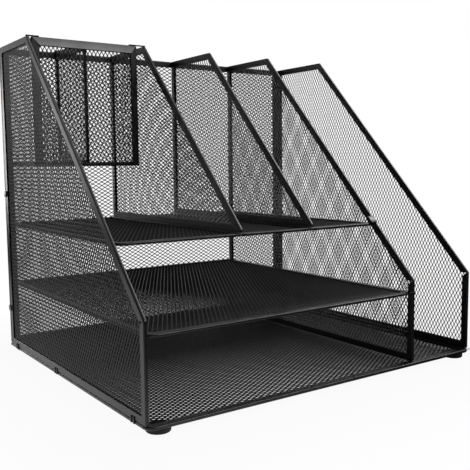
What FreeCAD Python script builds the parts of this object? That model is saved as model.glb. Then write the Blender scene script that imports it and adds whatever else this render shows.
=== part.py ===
import FreeCAD, Part
import math
import os
import types

import Sketcher

# Mesh desk organizer of powder-coated steel: framed sheets of expanded mesh hooked together into two paper
# trays, upright file slots and a lift-out pen caddy. Millimetres, +Z up, the front faces -Y, and the origin
# lies on the desk under the middle of the object.

doc = FreeCAD.newDocument("mesh_desk_organizer")
sheet = doc.addObject("Spreadsheet::Sheet", "sizes")

SIZES = (
    # Side panels: upright front edge, slanted edge above it, short level top edge
    ("panel_depth", 300),
    ("panel_height", 304.5),
    ("front_height", 76.7),
    ("top_depth", 81),
    ("panel_thickness", 3),
    ("caddy_bay", 117),
    ("slot_width", 76),
    # Channel frames, folded from strip round the edge of each mesh sheet
    ("rim_leg", 6.5),
    ("rim_wall", 0.8),
    ("notch_half", 2.2),
    ("notch_root", 2),
    # Mesh sheets, with the diamonds drawn coarser than the real 7 x 4 mm ones at the same open share
    ("mesh_thickness", 0.8),
    ("mesh_gap", 0.3),
    ("net_long_pitch", 34),
    ("net_short_pitch", 19),
    ("net_strand", 4.25),
    ("caddy_long_pitch", 17),
    ("caddy_short_pitch", 9.5),
    ("caddy_strand", 2.1),
    ("net_margin", 1.5),
    # Base and its rubber feet
    ("base_thickness", 3),
    ("base_front_margin", 3),
    ("base_rear_margin", 2),
    ("base_corner", 8),
    ("foot_radius", 9.5),
    ("foot_height", 4.5),
    ("foot_bevel", 1.2),
    ("foot_side_inset", 14),
    ("foot_end_inset", 10.5),
    # Shelves: the rise is from the base's top face to the shelf's top face
    ("shelf_thickness", 2.6),
    ("shelf_corner", 10),
    ("inner_corner", 1),
    ("top_shelf_rise", 127),
    ("middle_shelf_rise", 66),
    # Foot strips of the two dividers on the top shelf
    ("strip_width", 6),
    ("strip_sheet", 0.8),
    # Small tabs and hooks that hold the panels together
    ("tab_sheet", 0.8),
    ("tab_width", 1.6),
    ("tab_step", 4.2),
    ("tab_rise", 3),
    ("tab_drop", 2.6),
    ("clasp_height", 6),
    ("clasp_reach", 4),
    ("hook_sheet", 1),
    ("hook_reach", 5),
    ("hook_height", 6),
    # Pen caddy: a front, a bottom and an inner divider, hung between the left panel and the left divider
    ("caddy_height", 120),
    ("caddy_left_gap", 1.5),
    ("caddy_right_gap", 7),
    ("caddy_rear_gap", 1),
    ("caddy_leg", 8),
    ("caddy_low_leg", 3),
    ("caddy_bottom_thickness", 2.6),
    ("caddy_bottom_lift", 1.5),
    ("caddy_hook_drop", 7),
    ("caddy_hook_gap", 0.3),
)

# Places of the small tabs, as shares of the edge that carries them
TAB_PAIR_SHARES = (0.065, 0.575, 0.935)
CLASP_SHARES = (0.114, 0.505)

for row, (alias, number) in enumerate(SIZES, start=1):
    sheet.set(f"A{row}", alias)
    sheet.set(f"B{row}", str(number))
    sheet.setAlias(f"B{row}", alias)
doc.recompute()

cell = types.SimpleNamespace(**{alias: f"sizes.{alias}" for alias, number in SIZES})
nodes = []


def value(expression):
    """Number that an expression gives with the sheet's present sizes."""
    return float(sheet.evalExpression(expression))


# Lengths worked out from the driving sizes, as expressions
RUN = f"({cell.panel_depth} - {cell.top_depth})"
RISE = f"({cell.panel_height} - {cell.front_height})"
SLANT = f"sqrt({RUN} * {RUN} + {RISE} * {RISE})"
TOTAL_WIDTH = f"({cell.caddy_bay} + 3 * {cell.slot_width} + 5 * {cell.panel_thickness})"
TOTAL_DEPTH = (f"({cell.base_front_margin} + {cell.panel_depth} + {cell.panel_thickness}"
               f" + {cell.base_rear_margin})")
SHELF_WIDTH = f"({cell.caddy_bay} + 2 * {cell.slot_width} + 2 * {cell.panel_thickness})"
SHELF_SETBACK = f"max(0; ({cell.top_shelf_rise} - {cell.front_height}) * {RUN} / {RISE})"
DIVIDER_HEIGHT = f"({cell.panel_height} - {cell.top_shelf_rise})"
DIVIDER_DEPTH = f"({cell.panel_depth} - {SHELF_SETBACK})"
CADDY_WIDTH = f"({cell.caddy_bay} - {cell.caddy_left_gap} - {cell.caddy_right_gap})"
CADDY_INNER_DEPTH = f"({cell.top_depth} - {cell.caddy_rear_gap} - {cell.panel_thickness})"
CADDY_DIVIDER_HEIGHT = f"({cell.caddy_height} - {cell.caddy_bottom_lift} - {cell.caddy_bottom_thickness})"

# Places, as expressions in the part's frame
BASE_TOP = f"({cell.foot_height} + {cell.base_thickness})"
PANEL_TOP = f"({BASE_TOP} + {cell.panel_height})"
FRONT = f"({cell.base_front_margin} - {TOTAL_DEPTH} / 2)"
REAR = f"({FRONT} + {cell.panel_depth})"
LEFT = f"(-{TOTAL_WIDTH} / 2)"
BAY_STEP = f"({cell.panel_thickness} + {cell.caddy_bay})"
SLOT_STEP = f"({cell.panel_thickness} + {cell.slot_width})"
INNER_LEFT = f"({LEFT} + {cell.panel_thickness})"
LEFT_DIVIDER_X = f"({LEFT} + {BAY_STEP})"
RIGHT_DIVIDER_X = f"({LEFT_DIVIDER_X} + {SLOT_STEP})"
MIDDLE_X = f"({RIGHT_DIVIDER_X} + {SLOT_STEP})"
RIGHT_X = f"({MIDDLE_X} + {SLOT_STEP})"
TOP_SHELF_TOP = f"({BASE_TOP} + {cell.top_shelf_rise})"
TOP_SHELF_FRONT = f"({FRONT} + {SHELF_SETBACK})"
MIDDLE_SHELF_TOP = f"({BASE_TOP} + {cell.middle_shelf_rise})"
CADDY_X = f"({INNER_LEFT} + {cell.caddy_left_gap})"
CADDY_RIGHT = f"({CADDY_X} + {CADDY_WIDTH})"
CADDY_DIVIDER_X = f"({CADDY_X} + ({CADDY_WIDTH} - {cell.panel_thickness}) / 2)"
CADDY_FRONT = f"({FRONT} + {RUN})"
CADDY_INNER_FRONT = f"({CADDY_FRONT} + {cell.panel_thickness})"
CADDY_REAR = f"({REAR} - {cell.caddy_rear_gap})"
CADDY_LOW = f"({PANEL_TOP} - {cell.caddy_height})"
CADDY_BOTTOM = f"({CADDY_LOW} + {cell.caddy_bottom_lift})"

# A piece is drawn flat, across and up, and then turned: "side" stands it across the X axis, "back" across -Y
TURNS = {
    "flat": FreeCAD.Rotation(),
    "side": FreeCAD.Rotation(FreeCAD.Vector(1, 1, 1), 120),
    "back": FreeCAD.Rotation(FreeCAD.Vector(1, 0, 0), 90),
}


def place(piece, turn, at):
    """Turns a piece and binds its place to three expressions."""
    piece.Placement = FreeCAD.Placement(FreeCAD.Vector(), TURNS[turn])
    for axis, expression in zip("xyz", at):
        piece.setExpression(f"Placement.Base.{axis}", expression)


# Outlines: each is a function of the inset from the piece's edge and gives its corners anticlockwise as pairs
# of expressions, with a radius as a third where the stretch to the next corner is an arc

def rectangle(width, height):
    """Sharp rectangle."""
    def outline(inset):
        right = f"{width} - {inset}"
        top = f"{height} - {inset}"
        return [(inset, inset), (right, inset), (right, top), (inset, top)]
    return outline


def rounded_front(width, depth, corner):
    """Rectangle whose two front corners are rounded."""
    radius = f"max({corner}; {cell.rim_leg} + {cell.inner_corner})"

    def outline(inset):
        right = f"{width} - {inset}"
        rear = f"{depth} - {inset}"
        bend = f"{radius} - {inset}"
        return [(radius, inset), (f"{width} - {radius}", inset, bend), (right, radius), (right, rear),
                (inset, rear), (inset, radius, bend)]
    return outline


def side_outline(inset):
    """Five-sided side panel: rear foot, rear top, front of the top edge, front bend, front foot."""
    rear = f"{cell.panel_depth} - {inset}"
    top = f"{cell.panel_height} - {inset}"
    top_front = f"{RUN} + {inset} * ({SLANT} - {RUN}) / {RISE}"
    bend = f"{cell.front_height} + {inset} * ({RISE} - {SLANT}) / {RUN}"
    return [(inset, inset), (rear, inset), (rear, top), (top_front, top), (inset, bend)]


def divider_outline(inset):
    """Four-sided divider whose front edge keeps the side panels' slant."""
    rear = f"{DIVIDER_DEPTH} - {inset}"
    top = f"{DIVIDER_HEIGHT} - {inset}"
    foot_front = f"{inset} * ({SLANT} + {RUN}) / {RISE}"
    top_front = f"(({DIVIDER_HEIGHT} - {inset}) * {RUN} + {inset} * {SLANT}) / {RISE}"
    return [(foot_front, inset), (rear, inset), (rear, top), (top_front, top)]


def notch_outline():
    """Triangle cut from a side frame's legs where the strip is folded at the front bend."""
    fall = f"({RISE} - {SLANT}) / {RUN}"
    inner = f"{cell.front_height} + {cell.rim_leg} * {fall}"
    root = (cell.notch_root, f"{cell.front_height} + {cell.notch_root} * {fall}")
    low = (cell.rim_leg, f"{inner} - {cell.notch_half}")
    high = (f"{cell.rim_leg} + {cell.notch_half} * {RUN} / {SLANT}",
            f"{inner} + {cell.notch_half} * {RISE} / {SLANT}")
    return [root, low, high]


def stretches(corners):
    """Lines and arcs of a closed outline, at the sheet's present sizes."""
    points = [FreeCAD.Vector(value(corner[0]), value(corner[1]), 0) for corner in corners]
    pieces = []
    for corner, start, end in zip(corners, points, points[1:] + points[:1]):
        if len(corner) == 2:
            pieces.append(Part.LineSegment(start, end))
            continue
        radius = value(corner[2])
        chord = end - start
        reach = math.sqrt(max(0, radius ** 2 - (chord.Length / 2) ** 2))
        centre = (start + end) / 2 + FreeCAD.Vector(-chord.y, chord.x, 0).normalize() * reach
        turns = [math.atan2(point.y - centre.y, point.x - centre.x) for point in (start, end)]
        pieces.append(Part.ArcOfCircle(Part.Circle(centre, FreeCAD.Vector(0, 0, 1), radius), *turns))
    return pieces


def sketch_on(body, name, corners, lift=None):
    """Fully constrained closed sketch on the body's own ground plane, raised by lift where given."""
    plane = next(item for item in body.Origin.OriginFeatures if item.Role == "XY_Plane")
    sketch = body.newObject("Sketcher::SketchObject", name)
    sketch.AttachmentSupport = [(plane, "")]
    sketch.MapMode = "FlatFace"
    if lift:
        sketch.setExpression("AttachmentOffset.Base.z", lift)
    pieces = stretches(corners)
    for piece in pieces:
        sketch.addGeometry(piece, False)
    for index, corner in enumerate(corners):
        sketch.addConstraint(Sketcher.Constraint("Coincident", index, 2, (index + 1) % len(pieces), 1))
        for kind, axis, expression in (("DistanceX", -2, corner[0]), ("DistanceY", -1, corner[1])):
            if expression == "0":
                sketch.addConstraint(Sketcher.Constraint("PointOnObject", index, 1, axis))
                continue
            number = sketch.addConstraint(
                Sketcher.Constraint(kind, -1, 1, index, 1, value(expression)))
            sketch.setExpression(f"Constraints[{number}]", expression)
        if len(corner) == 3:
            number = sketch.addConstraint(Sketcher.Constraint("Radius", index, value(corner[2])))
            sketch.setExpression(f"Constraints[{number}]", corner[2])
    return sketch


def pad(body, name, corners, length):
    """Raises an outline from the body's ground plane."""
    feature = body.newObject("PartDesign::Pad", name)
    feature.Profile = sketch_on(body, f"{name}_sketch", corners)
    feature.setExpression("Length", length)


def pocket(body, name, corners, length=None, lift=None):
    """Cuts an outline upward from the ground plane, right through where no length is given."""
    feature = body.newObject("PartDesign::Pocket", name)
    feature.Profile = sketch_on(body, f"{name}_sketch", corners, lift)
    feature.Reversed = True
    if length:
        feature.setExpression("Length", length)
    else:
        feature.Type = "ThroughAll"


def solid_bar(label, corners, length, turn, at):
    """Bar of one section, raised along the normal of its turn."""
    body = doc.addObject("PartDesign::Body", label)
    pad(body, f"{label}_pad", corners, length)
    place(body, turn, at)
    return body


def frame(label, outline, thickness, turn, at, opening, notch=None):
    """Channel folded round an outline: legs on both faces, a closed outer edge and a groove inside."""
    body = doc.addObject("PartDesign::Body", label)
    pad(body, f"{label}_blank", outline("0"), thickness)
    pocket(body, f"{label}_opening", opening)
    pocket(body, f"{label}_groove", outline(cell.rim_wall), f"{thickness} - 2 * {cell.rim_wall}",
           cell.rim_wall)
    if notch:
        pocket(body, f"{label}_notch", notch)
    place(body, turn, at)
    nodes.append(body)


def inside(point, corners):
    """Whether a point lies within an anticlockwise convex outline."""
    for start, end in zip(corners, corners[1:] + corners[:1]):
        edge = end - start
        if edge.x * (point.y - start.y) - edge.y * (point.x - start.x) < 0:
            return False
    return True


def diamond_gaps(corners, long_way, net):
    """Closed diamonds of the mesh that fit whole inside an outline, in staggered rows about its middle."""
    limit = [FreeCAD.Vector(value(corner[0]), value(corner[1]), 0) for corner in corners]
    long_pitch, short_pitch, strand = [value(expression) for expression in net]
    spacing = long_pitch * short_pitch / math.hypot(long_pitch, short_pitch)
    open_share = 1 - strand / spacing
    pitch = (long_pitch, short_pitch) if long_way == "across" else (short_pitch, long_pitch)
    half = [length / 2 for length in pitch]
    low = [min(point[axis] for point in limit) for axis in (0, 1)]
    high = [max(point[axis] for point in limit) for axis in (0, 1)]
    middle = [(low[axis] + high[axis]) / 2 for axis in (0, 1)]
    steps = [math.ceil((high[axis] - middle[axis]) / half[axis]) for axis in (0, 1)]
    gaps = []
    for column in range(-steps[0], steps[0] + 1):
        for row in range(-steps[1], steps[1] + 1):
            if (column + row) % 2:
                continue
            centre = FreeCAD.Vector(middle[0] + column * half[0], middle[1] + row * half[1], 0)
            across = FreeCAD.Vector(half[0] * open_share, 0, 0)
            upward = FreeCAD.Vector(0, half[1] * open_share, 0)
            points = [centre - across, centre - upward, centre + across, centre + upward]
            if all(inside(point, limit) for point in points):
                gaps.append(Part.makePolygon(points + points[:1]))
    return gaps


def mesh_sheet(label, outline, thickness, turn, at, long_way, net, leg):
    """Expanded mesh as one holed face, its edge held in the middle of the frame's groove."""
    border = outline(f"({cell.rim_wall} + {cell.mesh_gap})")
    rim = Part.Wire([piece.toShape() for piece in stretches(border)])
    gaps = diamond_gaps(outline(f"({leg} + {cell.net_margin})"), long_way, net)
    face = Part.makeFace([rim] + gaps, "Part::FaceMakerBullseye")
    face.translate(FreeCAD.Vector(0, 0, value(f"({thickness} - {cell.mesh_thickness}) / 2")))
    piece = doc.addObject("Part::Feature", label)
    piece.Shape = face.extrude(FreeCAD.Vector(0, 0, value(cell.mesh_thickness)))
    place(piece, turn, at)
    nodes.append(piece)
    print(label, "gaps", len(gaps))


MAIN_NET = (cell.net_long_pitch, cell.net_short_pitch, cell.net_strand)
CADDY_NET = (cell.caddy_long_pitch, cell.caddy_short_pitch, cell.caddy_strand)


def framed_mesh(name, outline, thickness, turn, at, long_way, net=MAIN_NET, leg=cell.rim_leg, opening=None,
                notch=None):
    """A frame and the mesh sheet that it holds."""
    frame(f"{name}_frame", outline, thickness, turn, at, opening or outline(leg), notch)
    mesh_sheet(f"{name}_mesh", outline, thickness, turn, at, long_way, net, leg)


def plate(label, size, at):
    """Flat plate with its sizes and its low corner bound to expressions."""
    box = doc.addObject("Part::Box", label)
    for side, expression in zip(("Length", "Width", "Height"), size):
        box.setExpression(side, expression)
    place(box, "flat", at)
    return box


def group(label, pieces):
    """Identical small pieces kept together as one node of separate solids."""
    compound = doc.addObject("Part::Compound", label)
    compound.Links = pieces
    nodes.append(compound)


# Base: a flat framed mesh that carries everything, on four rubber feet
def rubber_foot(label, x, y):
    """Round foot with a bevelled lower edge, under one corner of the base."""
    body = doc.addObject("PartDesign::Body", label)
    profile = [("0", "0"), (f"{cell.foot_radius} - {cell.foot_bevel}", "0"),
               (cell.foot_radius, cell.foot_bevel), (cell.foot_radius, cell.foot_height),
               ("0", cell.foot_height)]
    sketch = sketch_on(body, f"{label}_profile", profile)
    foot = body.newObject("PartDesign::Revolution", f"{label}_turn")
    foot.Profile = sketch
    foot.ReferenceAxis = (sketch, ["V_Axis"])
    foot.Angle = 360
    place(body, "back", (x, y, "0"))
    nodes.append(body)


base_outline = rounded_front(TOTAL_WIDTH, TOTAL_DEPTH, cell.base_corner)
framed_mesh("base", base_outline, cell.base_thickness, "flat",
            (LEFT, f"-{TOTAL_DEPTH} / 2", cell.foot_height), "across")
for depth_name, depth_sign in (("front", "-"), ("rear", "")):
    for side_name, side_sign in (("left", "-"), ("right", "")):
        rubber_foot(f"foot_{depth_name}_{side_name}",
                    f"{side_sign}({TOTAL_WIDTH} / 2 - {cell.foot_side_inset})",
                    f"{depth_sign}({TOTAL_DEPTH} / 2 - {cell.foot_end_inset})")

# Three five-sided uprights: the two outer panels and the middle one beside the tall slot
for name, x in (("left_panel", LEFT), ("middle_panel", MIDDLE_X), ("right_panel", RIGHT_X)):
    framed_mesh(name, side_outline, cell.panel_thickness, "side", (x, FRONT, BASE_TOP), "up",
                notch=notch_outline())

# Back panel behind the uprights
framed_mesh("back_panel", rectangle(TOTAL_WIDTH, cell.panel_height), cell.panel_thickness, "back",
            (LEFT, f"{REAR} + {cell.panel_thickness}", BASE_TOP), "across")

# Shelves between the left panel and the middle panel
framed_mesh("middle_shelf", rounded_front(SHELF_WIDTH, cell.panel_depth, cell.shelf_corner),
            cell.shelf_thickness, "flat",
            (INNER_LEFT, FRONT, f"{MIDDLE_SHELF_TOP} - {cell.shelf_thickness}"), "across")
framed_mesh("top_shelf", rounded_front(SHELF_WIDTH, DIVIDER_DEPTH, cell.shelf_corner),
            cell.shelf_thickness, "flat",
            (INNER_LEFT, TOP_SHELF_FRONT, f"{TOP_SHELF_TOP} - {cell.shelf_thickness}"), "across")

# Dividers on the top shelf, each with a foot strip on its left and a small hook over the shelf's front edge
foot_hooks = []
for name, x in (("left_divider", LEFT_DIVIDER_X), ("right_divider", RIGHT_DIVIDER_X)):
    framed_mesh(name, divider_outline, cell.panel_thickness, "side", (x, TOP_SHELF_FRONT, TOP_SHELF_TOP),
                "up")
    nodes.append(plate(f"{name}_foot_strip", (cell.strip_width, DIVIDER_DEPTH, cell.strip_sheet),
                       (f"{x} - {cell.strip_width}", TOP_SHELF_FRONT, TOP_SHELF_TOP)))
    foot_hooks.append(plate(f"{name}_foot_hook",
                            (cell.panel_thickness, cell.hook_sheet, cell.shelf_thickness),
                            (x, f"{TOP_SHELF_FRONT} - {cell.hook_sheet}",
                             f"{TOP_SHELF_TOP} - {cell.shelf_thickness}")))
group("divider_foot_hooks", foot_hooks)

# Shelf hooks that clasp the middle panel's front edge, upright below and on the slant above
HOOK_WIDTH = f"({cell.hook_reach} + {cell.panel_thickness})"
HOOK_X = f"({MIDDLE_X} - {cell.hook_reach})"
nodes.append(plate("middle_shelf_hook", (HOOK_WIDTH, cell.hook_sheet, cell.shelf_thickness),
                   (HOOK_X, f"{FRONT} - {cell.hook_sheet}", f"{MIDDLE_SHELF_TOP} - {cell.shelf_thickness}")))
HOOK_OUT = f"{cell.hook_sheet} * {RISE} / {SLANT}"
HOOK_UP = f"{cell.hook_sheet} * {RUN} / {SLANT}"
HOOK_RUN = f"{cell.hook_height} * {RUN} / {RISE}"
slant_hook = [(HOOK_OUT, "0"), (f"{HOOK_OUT} + {HOOK_RUN}", cell.hook_height),
              (HOOK_RUN, f"{cell.hook_height} + {HOOK_UP}"), ("0", HOOK_UP)]
nodes.append(solid_bar("top_shelf_hook", slant_hook, HOOK_WIDTH, "side",
                       (HOOK_X, f"{TOP_SHELF_FRONT} - {HOOK_OUT}", TOP_SHELF_TOP)))

# Tabs in pairs from each outer panel's lower edge over the base's edge, and clasps from the back panel
# round each outer panel's rear edge
for side_name, x in (("left", f"{LEFT} - {cell.tab_sheet}"), ("right", f"{LEFT} + {TOTAL_WIDTH}")):
    tabs = []
    for pair, share in enumerate(TAB_PAIR_SHARES):
        for member in range(2):
            y = f"{FRONT} + {share} * {cell.panel_depth} + ({member} - 0.5) * {cell.tab_step}"
            tabs.append(plate(f"{side_name}_panel_tab_{pair}_{member}",
                              (cell.tab_sheet, cell.tab_width, f"{cell.tab_rise} + {cell.tab_drop}"),
                              (x, y, f"{BASE_TOP} - {cell.tab_drop}")))
    group(f"{side_name}_panel_tabs", tabs)
    clasps = [plate(f"{side_name}_clasp_{index}",
                    (cell.tab_sheet, f"{cell.clasp_reach} + {cell.panel_thickness}", cell.clasp_height),
                    (x, f"{REAR} - {cell.clasp_reach}", f"{BASE_TOP} + {share} * {cell.panel_height}"))
              for index, share in enumerate(CLASP_SHARES)]
    group(f"back_panel_{side_name}_clasps", clasps)

# Pen caddy: a framed front, a framed bottom behind its low leg and an inner divider that halves it. The left
# panel, the left divider and the back panel are its other walls.
front_opening = [(cell.caddy_leg, cell.caddy_low_leg),
                 (f"{CADDY_WIDTH} - {cell.caddy_leg}", cell.caddy_low_leg),
                 (f"{CADDY_WIDTH} - {cell.caddy_leg}", f"{cell.caddy_height} - {cell.caddy_leg}"),
                 (cell.caddy_leg, f"{cell.caddy_height} - {cell.caddy_leg}")]
framed_mesh("caddy_front", rectangle(CADDY_WIDTH, cell.caddy_height), cell.panel_thickness, "back",
            (CADDY_X, CADDY_INNER_FRONT, CADDY_LOW), "up", CADDY_NET, cell.caddy_leg, front_opening)
framed_mesh("caddy_bottom", rectangle(CADDY_WIDTH, CADDY_INNER_DEPTH), cell.caddy_bottom_thickness, "flat",
            (CADDY_X, CADDY_INNER_FRONT, CADDY_BOTTOM), "across", CADDY_NET)
framed_mesh("caddy_divider", rectangle(CADDY_INNER_DEPTH, CADDY_DIVIDER_HEIGHT), cell.panel_thickness, "side",
            (CADDY_DIVIDER_X, CADDY_INNER_FRONT, f"{CADDY_BOTTOM} + {cell.caddy_bottom_thickness}"), "up",
            CADDY_NET, cell.caddy_leg)

# The caddy hangs on two tabs at its front's upper corners, which rest on the uprights' top edges, and on a
# hook from its divider over the back panel
group("caddy_side_tabs", [
    plate(f"caddy_tab_{side_name}", (f"{cell.panel_thickness} + {gap} + {cell.caddy_leg}",
                                     cell.panel_thickness, cell.hook_sheet), (x, CADDY_FRONT, PANEL_TOP))
    for side_name, gap, x in (("left", cell.caddy_left_gap, LEFT),
                              ("right", cell.caddy_right_gap, f"{CADDY_RIGHT} - {cell.caddy_leg}"))])
LIP_FRONT = f"({cell.caddy_leg} + {cell.caddy_rear_gap} + {cell.panel_thickness} + {cell.caddy_hook_gap})"
LIP_REAR = f"({LIP_FRONT} + {cell.hook_sheet})"
HOOK_TOP = f"({cell.caddy_hook_drop} + {cell.hook_sheet})"
rear_hook = [("0", cell.caddy_hook_drop), (LIP_FRONT, cell.caddy_hook_drop), (LIP_FRONT, "0"),
             (LIP_REAR, "0"), (LIP_REAR, HOOK_TOP), ("0", HOOK_TOP)]
nodes.append(solid_bar("caddy_rear_hook", rear_hook, cell.panel_thickness, "side",
                       (CADDY_DIVIDER_X, f"{CADDY_REAR} - {cell.caddy_leg}",
                        f"{PANEL_TOP} - {cell.caddy_hook_drop}")))

doc.recompute()

for item in doc.Objects:
    if "Invalid" in item.State or "Error" in item.State:
        raise RuntimeError(f"{item.Label} could not be built: {item.State}")
for node in nodes:
    if node.Shape.isNull() or not node.Shape.isValid():
        raise RuntimeError(f"{node.Label} has no valid shape")

os.makedirs("parts", exist_ok=True)
for node in nodes:
    node.Shape.exportStep(f"parts/{node.Label}.step")
    print(node.Label, "solids", len(node.Shape.Solids), "volume", round(node.Shape.Volume, 1))
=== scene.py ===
# %% [markdown]
# A desk organizer of black coated steel: sheets of expanded mesh, each held in a folded channel, hooked
# together into two paper trays, upright file slots and a lift-out pen caddy. This lesson dresses the packed
# model. It loads the model first, because every piece takes its place from it.

# %% Load the imported model
import math

import bpy
import numpy as np
from mathutils import Matrix, Vector


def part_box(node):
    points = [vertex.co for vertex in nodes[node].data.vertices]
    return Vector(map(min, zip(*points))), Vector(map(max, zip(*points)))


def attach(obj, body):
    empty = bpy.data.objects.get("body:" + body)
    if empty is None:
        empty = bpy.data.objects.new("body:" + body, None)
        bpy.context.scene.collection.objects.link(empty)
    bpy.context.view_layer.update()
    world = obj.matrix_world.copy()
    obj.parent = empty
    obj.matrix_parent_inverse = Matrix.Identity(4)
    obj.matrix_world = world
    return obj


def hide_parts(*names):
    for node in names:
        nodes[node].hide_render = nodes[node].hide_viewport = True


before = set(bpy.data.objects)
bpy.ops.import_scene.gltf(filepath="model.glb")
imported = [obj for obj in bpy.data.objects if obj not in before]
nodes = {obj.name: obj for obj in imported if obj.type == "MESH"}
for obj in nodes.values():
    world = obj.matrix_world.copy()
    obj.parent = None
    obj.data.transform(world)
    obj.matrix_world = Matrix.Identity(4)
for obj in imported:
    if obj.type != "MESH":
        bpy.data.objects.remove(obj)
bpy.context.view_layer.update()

# %% [markdown]
# The camera comes next. A pinhole camera was fitted to the corners of the panels in the photograph, which
# gives its place, its turn and its focal length in pixels. Blender wants the focal length on a sensor, so it
# is scaled from the square picture's side to the sensor's width.

# %% Camera
PHOTO_SIDE_PIXELS = 470
FOCAL_PIXELS = 708.7
CAMERA_PLACE = (-0.4048, -0.5863, 0.1933)
CAMERA_YAW = math.radians(-34.88)
CAMERA_PITCH = math.radians(5.78)
CAMERA_ROLL = math.radians(-0.61)


def camera_turn(yaw, pitch, roll):
    """Right, up and back directions: back looks out of the scene, right is level, and both then roll about
    back."""
    back = np.array((math.sin(yaw) * math.cos(pitch), -math.cos(yaw) * math.cos(pitch), math.sin(pitch)))
    level = np.array((math.cos(yaw), math.sin(yaw), 0))
    plumb = np.cross(back, level)
    right = math.cos(roll) * level + math.sin(roll) * plumb
    return right, np.cross(back, right), back


scene = bpy.context.scene
lens = bpy.data.cameras.new("photo_camera")
lens.lens = FOCAL_PIXELS / PHOTO_SIDE_PIXELS * lens.sensor_width
camera = bpy.data.objects.new("photo_camera", lens)
turn = Matrix(np.stack(camera_turn(CAMERA_YAW, CAMERA_PITCH, CAMERA_ROLL), axis=1).tolist())
camera.matrix_world = Matrix.Translation(CAMERA_PLACE) @ turn.to_4x4()
scene.collection.objects.link(camera)
scene.camera = camera
print("lens", round(lens.lens, 2), "mm")

# %% [markdown]
# Everything but the feet is steel under a black powder coat. Powder melts into a skin with a fine orange-peel
# relief, and a little dust settles on what faces up; along the sharp folds the coat is painted lighter, a
# painted highlight. Three effects are shared by several finishes, so each is a node group with its own
# inputs: grain, painted fold highlight and dust.

# %% Helpers for node groups
def new_group(name, inputs, outputs):
    """Shader node group with named float, colour or vector sockets."""
    group = bpy.data.node_groups.new(name, "ShaderNodeTree")
    for direction, sockets in (("INPUT", inputs), ("OUTPUT", outputs)):
        for label, kind in sockets:
            group.interface.new_socket(label, in_out=direction, socket_type=f"NodeSocket{kind}")
    return group, group.nodes.new("NodeGroupInput"), group.nodes.new("NodeGroupOutput")


def add(tree, kind, settings=(), **values):
    """One node, with attributes from settings and constants set on its own sockets."""
    node = tree.nodes.new(kind)
    for key, setting in dict(settings).items():
        setattr(node, key, setting)
    for socket, constant in values.items():
        node.inputs[socket.replace("_", " ")].default_value = constant
    return node


def ramp(tree, source, low, high, to_low, to_high):
    """Straight-line change of one value's range into another, held at the ends."""
    node = add(tree, "ShaderNodeMapRange", From_Min=low, From_Max=high, To_Min=to_low, To_Max=to_high)
    tree.links.new(source, node.inputs["Value"])
    return node.outputs["Result"]


def combined(tree, operation, first, second):
    """Two values put together by one operation; the second may be a plain number."""
    node = add(tree, "ShaderNodeMath", {"operation": operation})
    tree.links.new(first, node.inputs[0])
    if isinstance(second, (int, float)):
        node.inputs[1].default_value = second
    else:
        tree.links.new(second, node.inputs[1])
    return node.outputs["Value"]


def product(tree, first, second):
    """Two values multiplied."""
    return combined(tree, "MULTIPLY", first, second)


# %% Grain, painted fold highlight and dust as groups
PEEL_PER_METRE = 900
PEEL_DETAIL = 2
PATCH_PER_METRE = 30
PATCH_DETAIL = 3
HIGHLIGHT_BREAK_PER_METRE = 260
HIGHLIGHT_BREAK_DETAIL = 4
HIGHLIGHT_BREAK_NOISE = (0.35, 0.7)
HIGHLIGHT_BREAK_SHARES = (0.25, 1)
DUST_PER_METRE = 420
DUST_DETAIL = 5
DUST_NOISE = (0.45, 0.75)
DUST_SHARES = (0.1, 1)
UPWARD = (0.5, 1)


def make_grain_group():
    """Orange peel: fine noise gives the relief, and broad noise gives slow patches of sheen."""
    group, source, sink = new_group("powder_grain", [("Place", "Vector")],
                                    [("Relief", "Float"), ("Patch", "Float")])
    for label, scale, detail in (("Relief", PEEL_PER_METRE, PEEL_DETAIL),
                                 ("Patch", PATCH_PER_METRE, PATCH_DETAIL)):
        noise = add(group, "ShaderNodeTexNoise", Scale=scale, Detail=detail)
        group.links.new(source.outputs["Place"], noise.inputs["Vector"])
        group.links.new(noise.outputs["Fac"], sink.inputs[label])
    return group


def make_fold_highlight_group():
    """Painted highlight along folds: the fold attribute, broken up by noise, is the mask where the coat is
    painted lighter.
    """
    group, source, sink = new_group("painted_fold_highlight", [("Place", "Vector"), ("Fold", "Float")],
                                    [("Mask", "Float")])
    noise = add(group, "ShaderNodeTexNoise", Scale=HIGHLIGHT_BREAK_PER_METRE, Detail=HIGHLIGHT_BREAK_DETAIL)
    group.links.new(source.outputs["Place"], noise.inputs["Vector"])
    broken = ramp(group, noise.outputs["Fac"], *HIGHLIGHT_BREAK_NOISE, *HIGHLIGHT_BREAK_SHARES)
    group.links.new(product(group, broken, source.outputs["Fold"]), sink.inputs["Mask"])
    return group


def make_dust_group():
    """Dust: where the surface faces up, sprinkled by noise."""
    group, source, sink = new_group("settled_dust", [("Place", "Vector")], [("Mask", "Float")])
    facing = add(group, "ShaderNodeNewGeometry")
    split = add(group, "ShaderNodeSeparateXYZ")
    group.links.new(facing.outputs["Normal"], split.inputs["Vector"])
    upward = ramp(group, split.outputs["Z"], *UPWARD, 0, 1)
    noise = add(group, "ShaderNodeTexNoise", Scale=DUST_PER_METRE, Detail=DUST_DETAIL)
    group.links.new(source.outputs["Place"], noise.inputs["Vector"])
    sprinkled = ramp(group, noise.outputs["Fac"], *DUST_NOISE, *DUST_SHARES)
    group.links.new(product(group, upward, sprinkled), sink.inputs["Mask"])
    return group


EFFECTS = {"grain": make_grain_group(), "fold_highlight": make_fold_highlight_group(), "dust": make_dust_group()}
print("groups", [group.name for group in EFFECTS.values()])
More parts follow.
